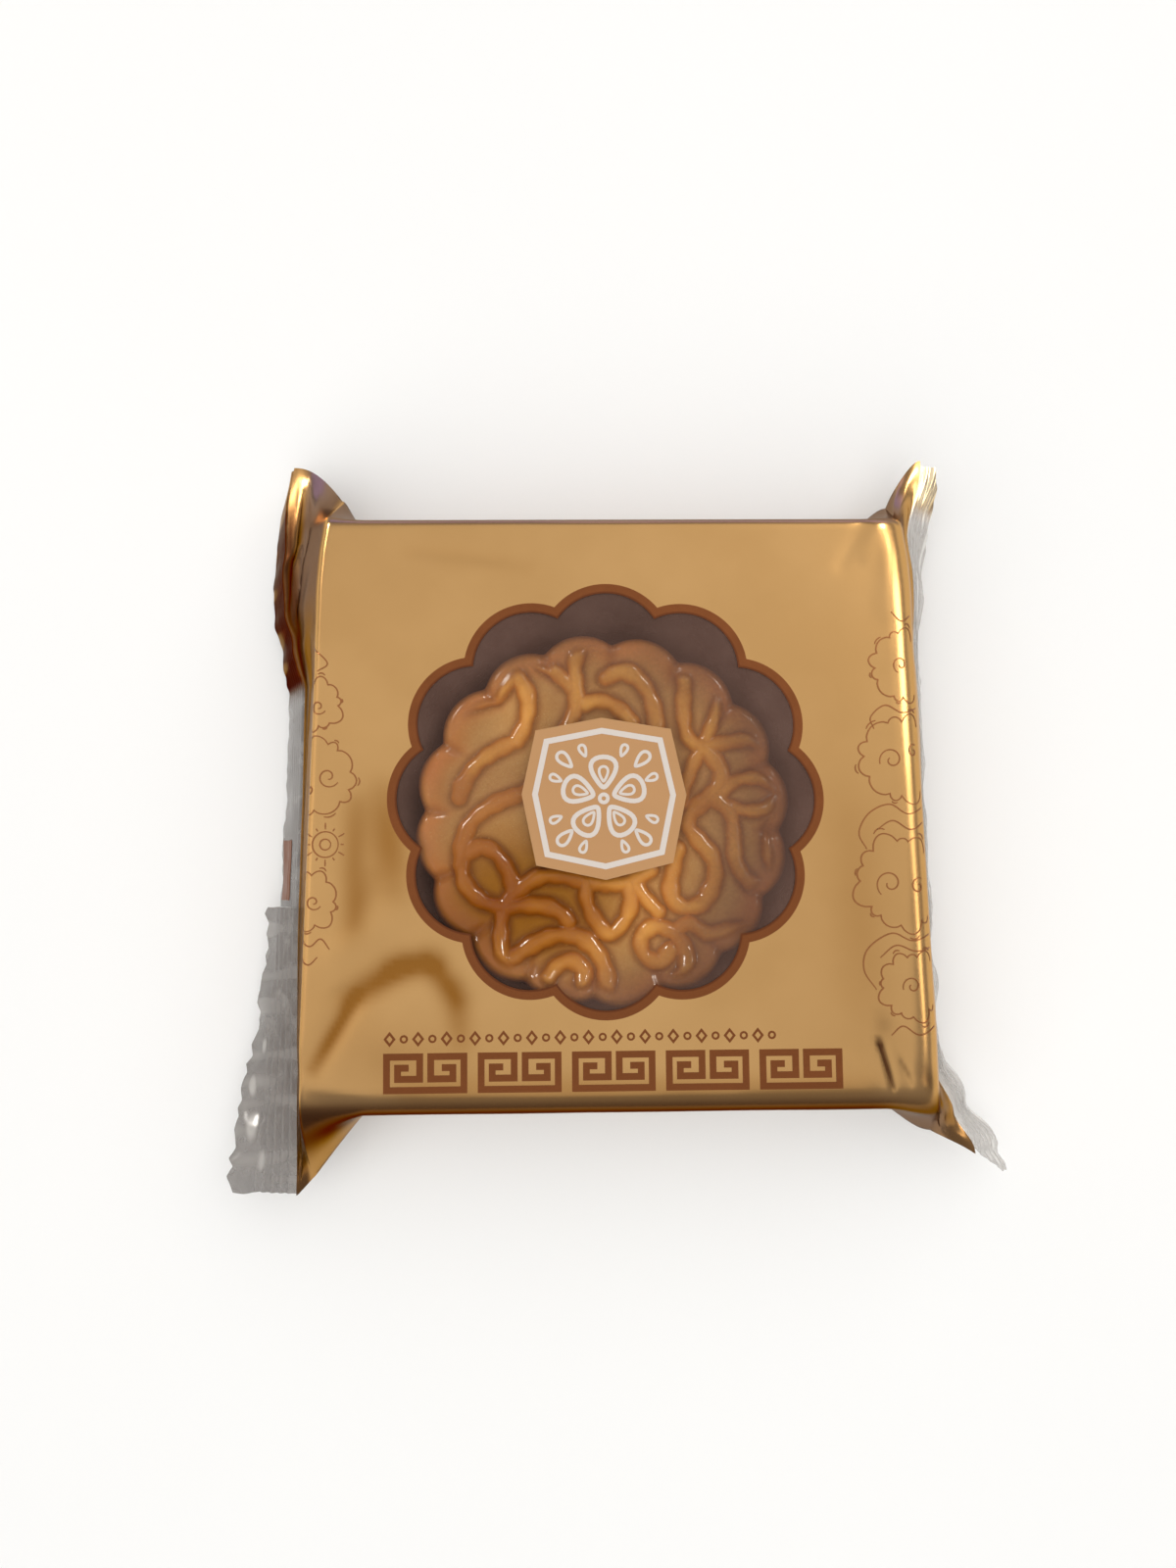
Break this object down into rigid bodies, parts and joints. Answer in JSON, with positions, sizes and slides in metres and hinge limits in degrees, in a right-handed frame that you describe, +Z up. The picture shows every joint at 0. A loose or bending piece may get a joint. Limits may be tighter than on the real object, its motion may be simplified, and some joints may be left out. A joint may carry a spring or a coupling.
{
  "type": "mooncake in flow-wrap pack",
  "caption": "Small round scalloped mooncake in a tray, sealed in a square gold film pack with a lobed clear window and crimped clear end seals.",
  "frame": {"origin": "middle of the flat underside that the pack rests on", "axes": "+Z up through the window, +X along the film tube towards the right end seal, +Y towards the back"},
  "size_m": [0.1119, 0.1036, 0.024],
  "materials": {
    "gold_film": "satin metallised gold film with fine brown print",
    "clear_film": "clear glossy film, crimped at the ends",
    "dark_tray": "thin formed dark brown plastic",
    "baked_crust": "egg-glazed baked pastry crust, browned on its ridges",
    "print_brown": "brown printed ink on film",
    "print_white": "white printed ink on film"
  },
  "bodies": {
    "root": {"wrapper": "gold_film", "window": "clear_film", "seal_left": "clear_film", "seal_right": "clear_film", "tray": "dark_tray", "mooncake": "baked_crust"}
  },
  "joints": []
}
